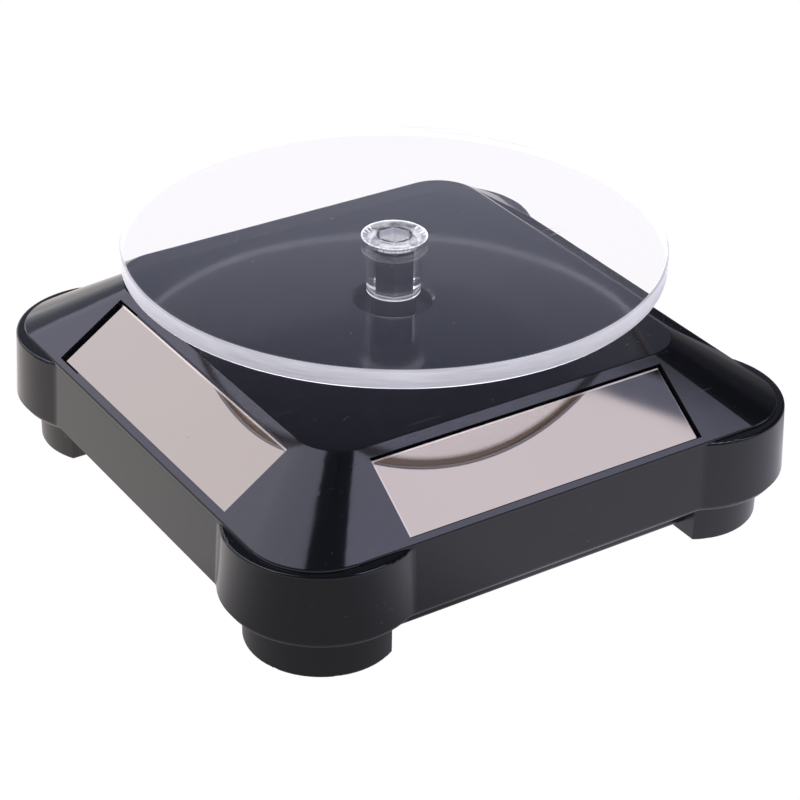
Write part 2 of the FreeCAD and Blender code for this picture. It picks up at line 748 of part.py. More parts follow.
def bottom_cover():
    flange = lobed_body("flange", flange_back, flange_z, size.parting_height,
                        size.lobe_blend, None, size.flange_round, flange_z)
    tub = block("tub_block", (-tub_half, -tub_half, size.tub_clearance), (tub_half, tub_half, flange_z))
    outside = [flange, rounded("tub", tub, size.tub_round, lies_at(size.tub_clearance))]
    rim_outer = size.wall + size.rim_clearance
    rim = cut("rim", lobed_body("rim_outside", rim_outer, size.parting_height,
                                size.parting_height + size.rim_height),
              [lobed_body("rim_inside", rim_outer + size.rim_thickness, size.parting_height,
                          size.parting_height + size.rim_height)])
    inner_half = tub_half - size.cover_wall
    hollow = [block("tub_hollow", (-inner_half, -inner_half, floor_z),
                    (inner_half, inner_half, size.parting_height))]
    added = [rim]
    holes = []
    stops = []
    for index, (x, y) in enumerate(CORNERS):
        centre = (x * lobe_centre, y * lobe_centre)
        foot = foot_block(f"foot_{index}", x, y, 0, 0, flange_z)
        outside.append(rounded(f"foot_rounded_{index}", foot, size.foot_round, lies_at(0)))
        hollow.append(foot_block(f"foot_hollow_{index}", x, y, size.cover_wall, size.cover_wall,
                                 size.parting_height))
        well_radius = size.screw_head_radius + size.through_clearance
        added.append(cylinder(f"screw_tube_{index}", well_radius + size.well_wall,
                              size.parting_height - size.cover_wall / 2, (*centre, size.cover_wall / 2)))
        holes.append(cylinder(f"screw_well_{index}", well_radius, size.well_depth, (*centre, 0)))
        holes.append(cylinder(f"screw_hole_{index}", size.screw_radius + size.through_clearance,
                              size.parting_height, (*centre, 0)))
    bay_low = (-(bay_half_length + size.bay_wall), bay_y - bay_half_width - size.bay_wall,
               floor_z - size.cover_wall / 2)
    bay_high = (bay_half_length + size.bay_wall, bay_y + bay_half_width + size.bay_wall,
                bay_roof_z + size.bay_wall)
    added.append(block("bay_outside", bay_low, bay_high))
    holes.append(block("bay_inside", (-bay_half_length, bay_y - bay_half_width, -size.tub_clearance),
                       (bay_half_length, bay_y + bay_half_width, bay_roof_z)))
    holes.append(cylinder("peg_holes", size.peg_radius + size.running_clearance,
                          2 * (bay_half_length + size.peg_reach + size.running_clearance),
                          (-(bay_half_length + size.peg_reach + size.running_clearance), peg_y, peg_z), "x"))
    for side, x in LEFT_RIGHT.items():
        stop_x = bay_half_length - size.stop_size if x > 0 else -bay_half_length
        stops.append(box(f"door_stop_{side}", (size.stop_size, bay_half_width, size.stop_size),
                         (stop_x, bay_y - bay_half_width / 2, door_top_z + size.stop_gap)))
        stake = (x * size.stake_spacing / 2, size.board_offset)
        added.append(cylinder(f"board_post_{side}", 2 * size.stake_radius,
                              size.board_height + size.stake_root, (*stake, floor_z - size.stake_root)))
        added.append(cylinder(f"board_stake_{side}", size.stake_radius,
                              size.board_height + size.board_thickness + size.stake_end, (*stake, floor_z)))
    shell = cut("cover_shell", fuse("cover_outside", outside), hollow)
    drilled = cut("cover_drilled", fuse("cover_with_supports", [shell, *added]), holes)
    return fuse("bottom_cover", [drilled, *stops])


def battery_door():
    half = bay_half_length - size.door_clearance
    plate = block("door_plate", (-half, door_low_y, size.tub_clearance), (half, peg_y, door_top_z))
    edge = cylinder("door_edge", size.door_thickness / 2, 2 * half, (-half, peg_y, peg_z), "x")
    reach = bay_half_length + size.peg_reach
    pegs = cylinder("door_pegs", size.peg_radius, 2 * reach, (-reach, peg_y, peg_z), "x")
    rib = block("door_rib", (size.rib_margin - half, bay_y - size.rib_width / 2, size.tub_clearance),
                (half - size.rib_margin, bay_y + size.rib_width / 2, door_top_z + size.rib_height))
    notch = cylinder("door_notch", size.notch_radius, 2 * size.notch_depth,
                     (0, door_low_y, size.tub_clearance - size.notch_depth))
    return cut("battery_door", fuse("door_with_pegs", [plate, edge, pegs, rib]), [notch])


# ---------------------------------------------------------------- panels, disc and hub
def solar_panel(side, turn):
    return slope_box(
        f"solar_panel_{side}", turn, (size.panel_length, size.panel_width, size.panel_thickness),
        -size.panel_length / 2, size.panel_edge, -(size.panel_inset + size.panel_thickness))


def hub_outside(name):
    """Tube, flare and flange of the hub, as one solid."""
    flare_z = disc_top_z - size.hub_flange_height - size.hub_flare_height
    return fuse(name, [
        cylinder(f"{name}_tube", size.hub_radius, disc_top_z - hub_seat_z, (0, 0, hub_seat_z)),
        cone(f"{name}_flare", size.hub_radius, size.hub_flange_radius, size.hub_flare_height, (0, 0, flare_z)),
        cylinder(f"{name}_flange", size.hub_flange_radius, size.hub_flange_height,
                 (0, 0, disc_top_z - size.hub_flange_height)),
    ])


def drive_hub():
    bore = hexagon("hub_bore", size.socket_flats, disc_top_z - hub_seat_z, (0, 0, hub_seat_z))
    return cut("drive_hub", hub_outside("hub_form"), [bore])


def turntable_disc():
    body = new_body("disc_blank")
    sketch = new_sketch(body, "disc_outline", disc_z)
    sketch.addGeometry(Part.Circle(Vector(0, 0, 0), Vector(0, 0, 1), float(size.disc_radius)))
    constrain(sketch, "Coincident", 0, 3, -1, 1)
    dimension(sketch, size.disc_radius, "Radius", 0)
    last = pad(body, "disc_pad", sketch, size.disc_thickness)
    doc.recompute()
    bevel = body.newObject("PartDesign::Chamfer", "disc_bevel")
    rims = [f"Edge{i}" for i, edge in enumerate(last.Shape.Edges, 1) if edge.Closed]
    bevel.Base = (last, rims)
    bind(bevel, "Size", size.disc_bevel)
    return cut("turntable_disc", body, [hub_outside("hub_seat")])


# ---------------------------------------------------------------- spindle and gears
def drive_spindle():
    shaft_foot_z = plate_z - size.shaft_end
    return fuse("drive_spindle", [
        cylinder("spindle_shaft", size.spindle_radius, hub_seat_z - shaft_foot_z, (0, 0, shaft_foot_z)),
        cylinder("spindle_collar", size.collar_radius, size.collar_height, (0, 0, hub_seat_z - size.collar_height)),
        hexagon("spindle_spigot", size.spigot_flats, size.spigot_height, (0, 0, hub_seat_z)),
    ])


def spindle_bush():
    bore = size.spindle_radius + size.running_clearance
    outside = fuse("bush_outside", [
        cylinder("bush_tube", bore + size.bush_wall, size.plate_thickness, (0, 0, lid_z)),
        cylinder("bush_flange_disc", bore + size.bush_wall + size.bush_flange, size.bush_flange_height,
                 (0, 0, lid_top_z)),
    ])
    bush_bore = cylinder("bush_bore", bore, 3 * size.plate_thickness, (0, 0, lid_z))
    return cut("spindle_bush", outside, [bush_bore])


def output_gear():
    """The last wheel, pressed on the spindle."""
    wheel = gear_disc("wheel", 0, output_level_z, 0.0)
    return feature("output_gear", wheel.cut(rod(size.spindle_radius, 0, output_level_z, lid_z)))


def second_gear():
    """Wheel and pinion on the fixed pin, with a short spacer below."""
    x = axis_spacing
    wheel = gear_disc("wheel", x, second_level_z, wheel_phase)
    neck = rod(pinion_pitch_radius - size.gear_module, x, second_level_z, output_level_z)
    spacer = rod(size.gear_pin_radius + size.spacer_wall, x, plate_top_z + size.spacer_gap, second_level_z)
    pinion = gear_disc("pinion", x, output_level_z, math.pi / float(size.pinion_teeth))
    solid = wheel.fuse([neck, spacer, pinion]).removeSplitter()
    bore = rod(size.gear_pin_radius + size.running_clearance, x, plate_top_z, lid_z)
    return feature("second_gear", solid.cut(bore))


def first_gear():
    """Wheel and pinion that turn freely round the spindle."""
    wheel = gear_disc("wheel", 0, first_level_z, wheel_phase)
    neck = rod(pinion_pitch_radius - size.gear_module / 2, 0, first_level_z, second_level_z)
    pinion = gear_disc("pinion", 0, second_level_z)
    solid = wheel.fuse([neck, pinion]).removeSplitter()
    bore = rod(size.spindle_radius + size.running_clearance, 0, first_level_z, output_level_z)
    return feature("first_gear", solid.cut(bore))


def motor_pinion():
    pinion = gear_disc("pinion", -axis_spacing, first_level_z)
    bore = rod(size.motor_shaft_radius, -axis_spacing, first_level_z, lid_z)
    return feature("motor_pinion", pinion.cut(bore))


def gear_pin():
    return cylinder("gear_pin", size.gear_pin_radius, lid_top_z - plate_z, (axis_spacing, 0, plate_z))


# ---------------------------------------------------------------- gearbox frame
def gearbox_base():
    plate = block("gearbox_plate", (-gearbox_left, -plate_half_width, plate_z),
                  (gearbox_right, plate_half_width, plate_top_z))
    added = [plate]
    holes = [
        cylinder("spindle_foot_hole", size.spindle_radius + size.running_clearance,
                 2 * size.plate_thickness, (0, 0, plate_z - size.plate_thickness / 2)),
        cylinder("pin_foot_hole", size.gear_pin_radius, 2 * size.plate_thickness,
                 (axis_spacing, 0, plate_z - size.plate_thickness / 2)),
        cylinder("pinion_opening", pinion_pitch_radius + 2 * size.gear_module, 2 * size.plate_thickness,
                 (-axis_spacing, 0, plate_z - size.plate_thickness / 2)),
    ]
    for index, (x, y) in enumerate(CORNERS):
        post_x = post_right if x > 0 else -post_left
        added.append(cylinder(f"gearbox_post_{index}", size.post_radius, lid_z - plate_z,
                              (post_x, y * post_y, plate_z)))
        holes.append(cylinder(f"post_pilot_{index}", size.small_screw_radius + size.screw_clearance,
                              size.small_screw_bite, (post_x, y * post_y, lid_z - size.small_screw_bite)))
        holes.append(cylinder(f"ear_hole_{index}", size.small_screw_radius + size.through_clearance / 2,
                              2 * size.plate_thickness,
                              (post_x, y * pillar_y, plate_z - size.plate_thickness / 2)))
    for end, y in FRONT_BACK.items():
        holes.append(cylinder(f"motor_screw_hole_{end}", size.small_screw_radius + size.through_clearance / 2,
                              2 * size.plate_thickness,
                              (-axis_spacing, y * motor_screw_y, plate_z - size.plate_thickness / 2)))
    return cut("gearbox_base", fuse("gearbox_base_form", added), holes)


def gearbox_lid():
    plate = block("lid_plate", (-gearbox_left, -lid_half_width, lid_z), (lid_right, lid_half_width, lid_top_z))
    bush_radius = size.spindle_radius + size.running_clearance + size.bush_wall
    holes = [
        cylinder("bush_hole", bush_radius, 2 * size.plate_thickness, (0, 0, lid_z - size.plate_thickness / 2)),
        cylinder("pin_head_hole", size.gear_pin_radius, 2 * size.plate_thickness,
                 (axis_spacing, 0, lid_z - size.plate_thickness / 2)),
    ]
    for index, (x, y) in enumerate(CORNERS):
        post_x = post_right if x > 0 else -post_left
        holes.append(cylinder(f"lid_hole_{index}", size.small_screw_radius + size.through_clearance / 2,
                              2 * size.plate_thickness,
                              (post_x, y * post_y, lid_z - size.plate_thickness / 2)))
    return cut("gearbox_lid", plate, holes)


SLOT_LENGTH, SLOT_WIDTH = 1.2, 0.3              # in head radii


def screw(name, x, y, seat_z, up, radius, head_radius, head_height, length):
    """A pan-head screw with a cross slot; up is 1 when its shank points up from its seat."""
    head_z = seat_z - head_height if up > 0 else seat_z
    shank_z = seat_z if up > 0 else seat_z - length
    slot_z = seat_z - head_height if up > 0 else seat_z + head_height / 2
    arm = head_radius * SLOT_LENGTH
    width = head_radius * SLOT_WIDTH
    slots = []
    for label, (wide, deep) in {"across": (arm, width), "along": (width, arm)}.items():
        slots.append(box(f"{name}_{label}", (wide, deep, head_height / 2), (x - wide / 2, y - deep / 2, slot_z)))
    form = fuse(f"{name}_form", [
        cylinder(f"{name}_head", head_radius, head_height, (x, y, head_z)),
        cylinder(f"{name}_shank", radius, length, (x, y, shank_z)),
    ])
    return cut(name, form, slots)


def cover_screws():
    length = size.parting_height - size.well_depth + size.screw_bite
    return compound("cover_screws", [
        screw(f"cover_screw_{i}", x * lobe_centre, y * lobe_centre, size.well_depth, 1, size.screw_radius,
              size.screw_head_radius, size.screw_head_height, length)
        for i, (x, y) in enumerate(CORNERS)])


def gearbox_screws():
    length = size.plate_thickness + size.small_screw_bite
    return compound("gearbox_screws", [
        screw(f"gearbox_screw_{i}", post_right if x > 0 else -post_left, y * pillar_y, plate_z, 1,
              size.small_screw_radius, size.small_head_radius, size.small_head_height, length)
        for i, (x, y) in enumerate(CORNERS)])


def lid_screws():
    length = size.plate_thickness + size.post_bite
    return compound("lid_screws", [
        screw(f"lid_screw_{i}", post_right if x > 0 else -post_left, y * post_y, lid_top_z, -1,
              size.small_screw_radius, size.small_head_radius, size.small_head_height, length)
        for i, (x, y) in enumerate(CORNERS)])


def motor_screws():
    length = size.plate_thickness + size.motor_wall
    return compound("motor_screws", [
        screw(f"motor_screw_{end}", -axis_spacing, y * motor_screw_y, plate_top_z, -1,
              size.small_screw_radius, size.small_head_radius, size.end_float, length)
        for end, y in FRONT_BACK.items()])


# ---------------------------------------------------------------- motor
def motor_can():
    can = cylinder("can_outside", size.motor_radius, plate_z - motor_z, (-axis_spacing, 0, motor_z))
    holes = [
        cylinder("can_inside", size.motor_radius - size.motor_wall, plate_z - motor_z - size.motor_wall,
                 (-axis_spacing, 0, motor_z)),
        cylinder("can_bearing", size.motor_shaft_radius + size.running_clearance, 2 * size.motor_wall,
                 (-axis_spacing, 0, plate_z - 1.5 * size.motor_wall)),
    ]
    for end, y in FRONT_BACK.items():
        holes.append(cylinder(f"can_screw_hole_{end}", size.small_screw_radius + size.screw_clearance,
                              2 * size.motor_wall,
                              (-axis_spacing, y * motor_screw_y, plate_z - 1.5 * size.motor_wall)))
    return cut("motor_can", can, holes)


def motor_end_cap():
    cap = cylinder("cap_disc", size.motor_radius - size.motor_wall, size.end_cap_thickness,
                   (-axis_spacing, 0, motor_z))
    bearing = cylinder("cap_bearing", size.motor_shaft_radius + size.running_clearance,
                       2 * size.end_cap_thickness, (-axis_spacing, 0, motor_z - size.end_cap_thickness / 2))
    return cut("motor_end_cap", cap, [bearing])


def motor_magnets():
    outer = size.motor_radius - size.motor_wall
    inner = outer - size.magnet_thickness
    ring = cut("magnet_ring",
               cylinder("magnet_outside", outer, rotor_top_z - rotor_z, (-axis_spacing, 0, rotor_z)),
               [cylinder("magnet_inside", inner, rotor_top_z - rotor_z, (-axis_spacing, 0, rotor_z))])
    gap = box("magnet_gap", (outer, 2 * outer, rotor_top_z - rotor_z),
              (-axis_spacing - outer / 2, -outer, rotor_z))
    return cut("motor_magnets", ring, [gap])


def motor_rotor():
    """Three-pole rotor with its commutator and shaft, in one piece."""
    radius = size.motor_radius - size.motor_wall - size.magnet_thickness - size.air_gap
    x = -axis_spacing
    stack = rod(radius, x, rotor_z, rotor_top_z)
    slots = []
    for index in range(3):
        slot = Part.makeBox(float(radius), float(size.rotor_slot), float(rotor_top_z - rotor_z))
        slot.translate(Vector(float(size.rotor_core), -float(size.rotor_slot) / 2, float(rotor_z)))
        slot.rotate(Vector(0, 0, 0), Vector(0, 0, 1), 60 + 120 * index)
        slot.translate(Vector(float(x), 0, 0))
        slots.append(slot)
    commutator_z = motor_z + size.end_cap_thickness + size.commutator_gap
    commutator = rod(size.commutator_radius, x, commutator_z, rotor_z)
    shaft_top_z = first_level_z + size.gear_face + size.shaft_end
    shaft = rod(size.motor_shaft_radius, x, motor_z - size.shaft_end, shaft_top_z)
    return feature("motor_rotor", stack.cut(slots).fuse([commutator, shaft]).removeSplitter())


# ---------------------------------------------------------------- battery and circuit board
def battery_cell():
    can_length = size.cell_length - size.button_height
    can = cylinder("cell_can", size.cell_radius, can_length, (cell_start_x, bay_y, cell_z), "x")
    button = cylinder("cell_button", size.button_radius, size.button_height,
                      (cell_start_x + can_length, bay_y, cell_z), "x")
    return fuse("battery_cell", [can, button])


def contact_plate(name, x):
    half = size.contact_width / 2
    return block(name, (x, bay_y - half, cell_z - half),
                 (x + size.contact_thickness, bay_y + half, cell_z + half))


def battery_spring():
    """Conical spring with its end fixed in the negative contact plate."""
    plate = contact_plate("spring_plate", -bay_half_length)
    doc.recompute()
    wire = float(size.spring_wire)
    length = float(size.spring_room) - 2 * wire
    wide = float(size.contact_width) / 2 - 1.5 * wire
    narrow = float(size.button_radius)
    cone_angle = math.degrees(math.atan2(wide - narrow, length))
    helix = Part.makeHelix(length / float(size.spring_turns), length, wide, -cone_angle)
    profile = Part.Wire(Part.makeCircle(wire, Vector(wide, 0, 0), Vector(0, 1, 0)))
    coil = Part.Wire(helix).makePipeShell([profile], True, True)
    coil = Part.Solid(coil) if coil.ShapeType != "Solid" else coil
    start = Vector(float(size.contact_thickness - bay_half_length) + 0.8 * wire, float(bay_y), float(cell_z))
    coil.Placement = Placement(start, Rotation(Vector(0, 1, 0), 90))
    return feature("battery_spring", plate.Shape.fuse(coil))


def circuit_board():
    board = box("board_blank", (size.board_length, size.board_width, size.board_thickness),
                (-size.board_length / 2, size.board_offset - size.board_width / 2, board_z))
    holes = [
        cylinder(f"board_hole_{side}", size.stake_radius + size.screw_clearance, 2 * size.board_thickness,
                 (x * size.stake_spacing / 2, size.board_offset, board_z - size.board_thickness / 2))
        for side, x in LEFT_RIGHT.items()]
    return cut("circuit_board", board, holes)


def blocking_diode():
    """Glass-bodied diode lying on the board, its two legs bent down to it."""
    top_z = board_z + size.board_thickness
    body_z = top_z + size.diode_height
    y = size.board_offset + size.diode_offset
    reach = (size.lead_spacing + 2 * size.lead_radius) / 2
    parts = [
        cylinder("diode_body", size.diode_radius, size.diode_length, (-size.diode_length / 2, y, body_z), "x"),
        cylinder("diode_leads", size.lead_radius, 2 * reach, (-reach, y, body_z), "x"),
    ]
    for side, x in LEFT_RIGHT.items():
        leg_x = x * size.lead_spacing / 2
        parts.append(block(f"diode_leg_{side}", (leg_x - size.lead_radius, y - size.lead_radius, top_z),
                           (leg_x + size.lead_radius, y + size.lead_radius, body_z)))
    return fuse("blocking_diode", parts)


# ---------------------------------------------------------------- assembly
node(upper_housing(), "upper_housing")
node(bottom_cover(), "bottom_cover")
node(battery_door(), "battery_door")
for side, turn in SIDES.items():
    node(solar_panel(side, turn), f"solar_panel_{side}")
node(turntable_disc(), "turntable_disc")
node(drive_hub(), "drive_hub")
node(drive_spindle(), "drive_spindle")
node(spindle_bush(), "spindle_bush")
node(output_gear(), "output_gear")
node(second_gear(), "second_gear")
node(first_gear(), "first_gear")
node(motor_pinion(), "motor_pinion")
node(gear_pin(), "gear_pin")
node(gearbox_base(), "gearbox_base")
node(gearbox_lid(), "gearbox_lid")
node(motor_can(), "motor_can")
node(motor_end_cap(), "motor_end_cap")
node(motor_magnets(), "motor_magnets")
node(motor_rotor(), "motor_rotor")
node(battery_cell(), "battery_cell")
node(battery_spring(), "battery_spring")
node(contact_plate("battery_contact", bay_half_length - size.contact_thickness), "battery_contact")
node(circuit_board(), "circuit_board")
node(blocking_diode(), "blocking_diode")
node(cover_screws(), "cover_screws")
node(gearbox_screws(), "gearbox_screws")
node(lid_screws(), "lid_screws")
node(motor_screws(), "motor_screws")
doc.recompute()

# ---------------------------------------------------------------- checks and export
for item in doc.Objects:
    bad = {"Invalid", "Error"} & set(item.State)
    if bad:
        raise RuntimeError(f"{item.Name} is {bad}")
for item in nodes:
    if item.Shape.isNull() or not item.Shape.isValid() or not item.Shape.Solids:
        raise RuntimeError(f"{item.Label} has no valid solid")

os.makedirs("parts", exist_ok=True)
for item in nodes:
    item.Shape.exportStep(f"parts/{item.Label}.step")
    print(item.Label, len(item.Shape.Solids), "solids", round(item.Shape.Volume, 1), "mm3")
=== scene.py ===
import json
import math

import bpy
from mathutils import Matrix, Vector


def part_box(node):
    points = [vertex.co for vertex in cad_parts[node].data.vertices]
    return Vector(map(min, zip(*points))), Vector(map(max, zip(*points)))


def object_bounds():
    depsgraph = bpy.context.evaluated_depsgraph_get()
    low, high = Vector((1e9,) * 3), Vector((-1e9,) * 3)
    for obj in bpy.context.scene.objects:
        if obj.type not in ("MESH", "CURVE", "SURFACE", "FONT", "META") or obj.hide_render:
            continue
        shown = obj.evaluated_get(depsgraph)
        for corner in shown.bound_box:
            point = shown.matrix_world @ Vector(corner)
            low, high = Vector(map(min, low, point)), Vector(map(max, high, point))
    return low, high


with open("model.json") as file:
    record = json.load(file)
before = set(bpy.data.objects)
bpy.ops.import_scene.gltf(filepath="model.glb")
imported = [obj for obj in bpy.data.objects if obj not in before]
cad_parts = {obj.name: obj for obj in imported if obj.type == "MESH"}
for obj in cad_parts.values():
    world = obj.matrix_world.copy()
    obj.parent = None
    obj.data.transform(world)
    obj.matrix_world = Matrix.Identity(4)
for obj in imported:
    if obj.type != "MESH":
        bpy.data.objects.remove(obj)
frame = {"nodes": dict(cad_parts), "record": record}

# Looks of a small turntable display stand: glossy black base, mirror-like solar panels, clear disc
# and hub.  Lengths are in metres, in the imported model's own frame.
MM = 0.001

cad_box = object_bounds()
nodes = frame["nodes"]
slots = {part["node"]: part["material_slot"] for part in frame["record"]["subparts"]}
scene = bpy.context.scene

disc_low, disc_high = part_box("turntable_disc")
disc_radius = (disc_high.x - disc_low.x) / 2
panel_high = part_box("solar_panel_front")[1]
panel_half = panel_high.x


# ---------------------------------------------------------------- node-tree helpers
class Tree:
    """A short way to write a shader node tree."""

    def __init__(self, tree):
        self.tree = tree
        tree.nodes.clear()

    def add(self, kind, inputs=None, **settings):
        node = self.tree.nodes.new(kind)
        for name, value in settings.items():
            setattr(node, name, value)
        for name, value in (inputs or {}).items():
            self.feed(node.inputs[name], value)
        return node

    def feed(self, socket, value):
        if isinstance(value, bpy.types.NodeSocket):
            self.tree.links.new(value, socket)
        elif value is not None:
            socket.default_value = value

    def math(self, operation, first, second=None, clamp=False):
        node = self.add("ShaderNodeMath", operation=operation, use_clamp=clamp)
        self.feed(node.inputs[0], first)
        self.feed(node.inputs[1], second)
        return node.outputs[0]

    def remap(self, value, low, high, to_low=0.0, to_high=1.0, smooth=False):
        node = self.add("ShaderNodeMapRange", {
            "Value": value, "From Min": low, "From Max": high, "To Min": to_low, "To Max": to_high})
        if smooth:
            node.interpolation_type = "SMOOTHSTEP"
        return node.outputs["Result"]

    def mix(self, factor, first, second):
        node = self.add("ShaderNodeMix", data_type="RGBA")
        self.feed(node.inputs[0], factor)
        self.feed(node.inputs[6], first)
        self.feed(node.inputs[7], second)
        return node.outputs[2]

    def place(self):
        """Position on the piece, in metres."""
        return self.add("ShaderNodeTexCoord").outputs["Object"]

    def axes(self, vector=None):
        return self.add("ShaderNodeSeparateXYZ", {0: vector or self.place()}).outputs

    def noise(self, scale, detail=2.0, roughness=0.5, vector=None, distortion=0.0):
        node = self.add("ShaderNodeTexNoise", {
            "Vector": vector or self.place(), "Scale": scale, "Detail": detail,
            "Roughness": roughness, "Distortion": distortion})
        return node.outputs["Fac"]

    def radius(self):
        """Distance from the upright axis through the middle, in metres."""
        x, y = self.axes()[:2]
        return self.math("SQRT", self.math("ADD", self.math("MULTIPLY", x, x), self.math("MULTIPLY", y, y)))

    def specks(self, scale, size, vector=None, smoothness=0.4):
        """1 on sparse round specks, 0 elsewhere; size is a share of their spacing."""
        cells = self.add("ShaderNodeTexVoronoi", {"Vector": vector or self.place(), "Scale": scale})
        return self.remap(cells.outputs["Distance"], size, size * smoothness)

    def bump(self, height, distance, strength=1.0, normal=None):
        node = self.add("ShaderNodeBump", {
            "Height": height, "Distance": distance, "Strength": strength})
        self.feed(node.inputs["Normal"], normal)
        return node.outputs["Normal"]


def rgb(red, green, blue):
    return (red, green, blue, 1.0)


def surface(name, inputs, build=None):
    """A material with one Principled shader; build(tree) returns the inputs that vary."""
    material = bpy.data.materials.new(name)
    material.use_nodes = True
    tree = Tree(material.node_tree)
    shader = tree.add("ShaderNodeBsdfPrincipled", inputs)
    for socket, value in (build(tree) if build else {}).items():
        tree.feed(shader.inputs[socket], value)
    output = tree.add("ShaderNodeOutputMaterial")
    tree.tree.links.new(shader.outputs[0], output.inputs["Surface"])
    return material


SHORTEST_LENGTH = 0.001


def along(tree, x, y, turn):
    """How far x, y lies along a direction, given as an angle from +Y towards +X."""
    return tree.math("ADD", tree.math("MULTIPLY", x, math.sin(turn)),
                     tree.math("MULTIPLY", y, math.cos(turn)))


def towards(tree, x, y, azimuth):
    """1 straight towards an azimuth, -1 away from it; azimuth 0 is +Y and 90 is +X."""
    turn = math.radians(azimuth)
    length = tree.math("SQRT", tree.math("ADD", tree.math("MULTIPLY", x, x), tree.math("MULTIPLY", y, y)))
    return tree.math("DIVIDE", along(tree, x, y, turn), tree.math("MAXIMUM", length, SHORTEST_LENGTH))


# ---------------------------------------------------------------- black mouldings
def moulded_black(name, tone, gloss, grain):
    """Black plastic: a slightly wavy moulded skin, fine scratches and a few dust specks."""
    def build(tree):
        wave = tree.noise(90, 2)
        fine = tree.noise(2600, 2)
        stretched = tree.add("ShaderNodeMapping", {
            "Vector": tree.place(), "Rotation": (0.3, 0.5, 0.7), "Scale": (60, 1900, 1900)})
        scratch = tree.remap(tree.noise(1.0, 1, vector=stretched.outputs[0]), 0.70, 0.78)
        dust = tree.math("MULTIPLY", tree.specks(420, 0.10), tree.remap(tree.noise(60), 0.5, 0.62))
        mark = tree.math("MAXIMUM", tree.math("MULTIPLY", scratch, 0.4), dust)
        rough = tree.remap(wave, 0.3, 0.7, gloss * 0.85, gloss * 1.2)
        skin = tree.bump(wave, 0.00001)
        return {
            "Base Color": tree.mix(mark, rgb(*tone), rgb(0.05, 0.052, 0.058)),
            "Roughness": tree.math("ADD", rough, tree.math("MULTIPLY", mark, 0.18)),
            "Normal": tree.bump(fine, grain, normal=skin),
        }
    return surface(name, {"IOR": 1.5}, build)


def etched_black(name):
    """The bottom cover's duller black, with a faint spark-etched grain."""
    def build(tree):
        grain = tree.noise(1500, 3, 0.6)
        patch = tree.noise(45, 3)
        dust = tree.math("MULTIPLY", tree.specks(330, 0.13), tree.remap(patch, 0.52, 0.6))
        tone = tree.mix(patch, rgb(0.008, 0.008, 0.009), rgb(0.013, 0.013, 0.014))
        return {
            "Base Color": tree.mix(dust, tone, rgb(0.06, 0.06, 0.062)),
            "Roughness": tree.remap(patch, 0.3, 0.7, 0.2, 0.32),
            "Normal": tree.bump(grain, 0.000012),
        }
    return surface(name, {"IOR": 1.5}, build)


# ---------------------------------------------------------------- solar panels
PANEL_TILT = math.radians(34.1)
PANEL_EDGE = 0.32 * MM
END_EDGE_SHARE = 0.3
GLASS_LEAN = 0.028


def solar_glass(name):
    """Mirror-like brown cell under clear glass, its ground upper edge showing as a pale line.

    The mirror leans up a little from the slope that the glass lies in.
    """
    edge_rise = PANEL_EDGE * math.sin(PANEL_TILT)

    def build(tree):
        x, y, z = tree.axes()[:3]
        face = tree.add("ShaderNodeNewGeometry").outputs["Normal"]
        raised = tree.add("ShaderNodeVectorMath", {0: face, 1: (0.0, 0.0, GLASS_LEAN)}, operation="ADD")
        level = tree.add("ShaderNodeVectorMath", {0: raised.outputs[0]}, operation="NORMALIZE").outputs[0]
        sideways = tree.math("MINIMUM", tree.math("ABSOLUTE", x), tree.math("ABSOLUTE", y))
        ends = tree.remap(sideways, panel_half - PANEL_EDGE, panel_half - 0.8 * PANEL_EDGE)
        head = tree.remap(z, panel_high.z - edge_rise, panel_high.z - 0.8 * edge_rise)
        edge = tree.math("MAXIMUM", tree.math("MULTIPLY", ends, END_EDGE_SHARE), head)
        drift = tree.noise(26, 3)
        patch = tree.noise(70, 2)
        tone = tree.mix(drift, rgb(0.252, 0.216, 0.156), rgb(0.228, 0.194, 0.142))
        speck = tree.math("MULTIPLY", tree.specks(300, 0.05), tree.remap(patch, 0.56, 0.64))
        tone = tree.mix(speck, tone, rgb(0.10, 0.09, 0.08))
        return {
            "Base Color": tree.mix(edge, tone, rgb(0.46, 0.40, 0.31)),
            "Roughness": tree.math("ADD", tree.remap(patch, 0.3, 0.7, 0.025, 0.045),
                                   tree.math("MULTIPLY", edge, 0.2)),
            "Normal": tree.bump(tree.noise(35, 1), 0.000012, normal=level),
        }
    coat = {"Coat Weight": 1.0, "Coat Roughness": 0.02, "Coat IOR": 1.5}
    return surface(name, {"Metallic": 1.0, **coat}, build)


# ---------------------------------------------------------------- clear parts
def clear_plastic(name, inputs, build):
    """A clear shader that lets light pass straight through for shadows."""
    material = surface(name, {"Transmission Weight": 1.0, **inputs}, build)
    tree = material.node_tree
    shader = next(n for n in tree.nodes if n.type == "BSDF_PRINCIPLED")
    output = next(n for n in tree.nodes if n.type == "OUTPUT_MATERIAL")
    path = tree.nodes.new("ShaderNodeLightPath")
    see_through = tree.nodes.new("ShaderNodeBsdfTransparent")
    see_through.inputs["Color"].default_value = rgb(0.93, 0.93, 0.96)
    mix = tree.nodes.new("ShaderNodeMixShader")
    tree.links.new(path.outputs["Is Shadow Ray"], mix.inputs[0])
    tree.links.new(shader.outputs[0], mix.inputs[1])
    tree.links.new(see_through.outputs[0], mix.inputs[2])
    tree.links.new(mix.outputs[0], output.inputs["Surface"])
    return material


# Painted glow: extra emission on the rim where it is seen from within.
PAINTED_INNER_RIM_GLOW = 0.55
RIM_DEPTH = (0.45 * MM, 0.2 * MM)
# Painted reflection: how far in from the edge the dark band reaches that the rim shows in mirror rays.
PAINTED_REFLECTION_RIM_DEPTH = (2.2 * MM, 1.5 * MM)


